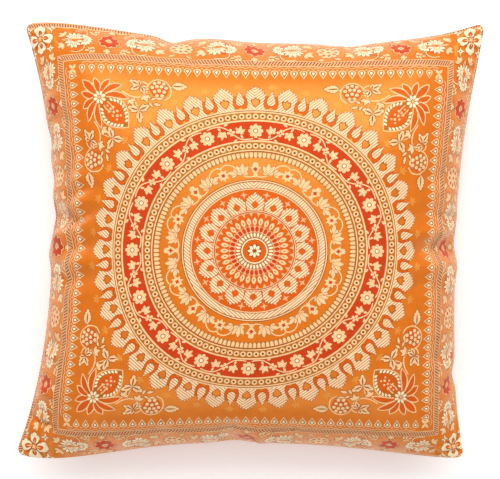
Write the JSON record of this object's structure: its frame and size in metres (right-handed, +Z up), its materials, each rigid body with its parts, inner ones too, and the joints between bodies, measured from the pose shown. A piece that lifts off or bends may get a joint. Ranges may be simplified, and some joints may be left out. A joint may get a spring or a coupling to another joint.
{
  "type": "silk cushion cover",
  "caption": "Square cushion in a woven silk brocade cover, filled and crowned, with drawn-in sides and thin corner ears, lying on its back.",
  "frame": {"origin": "middle of the box's base, on the surface that the cushion lies on", "axes": "+Z up out of the worked face, +Y towards the face's top edge, +X to the right as the face is seen"},
  "size_m": [0.3942, 0.3808, 0.1192],
  "materials": {
    "brocade": "satin-faced orange silk brocade with cream, peach, red and brown woven figures"
  },
  "bodies": {
    "root": {"cushion": "brocade"}
  },
  "joints": []
}
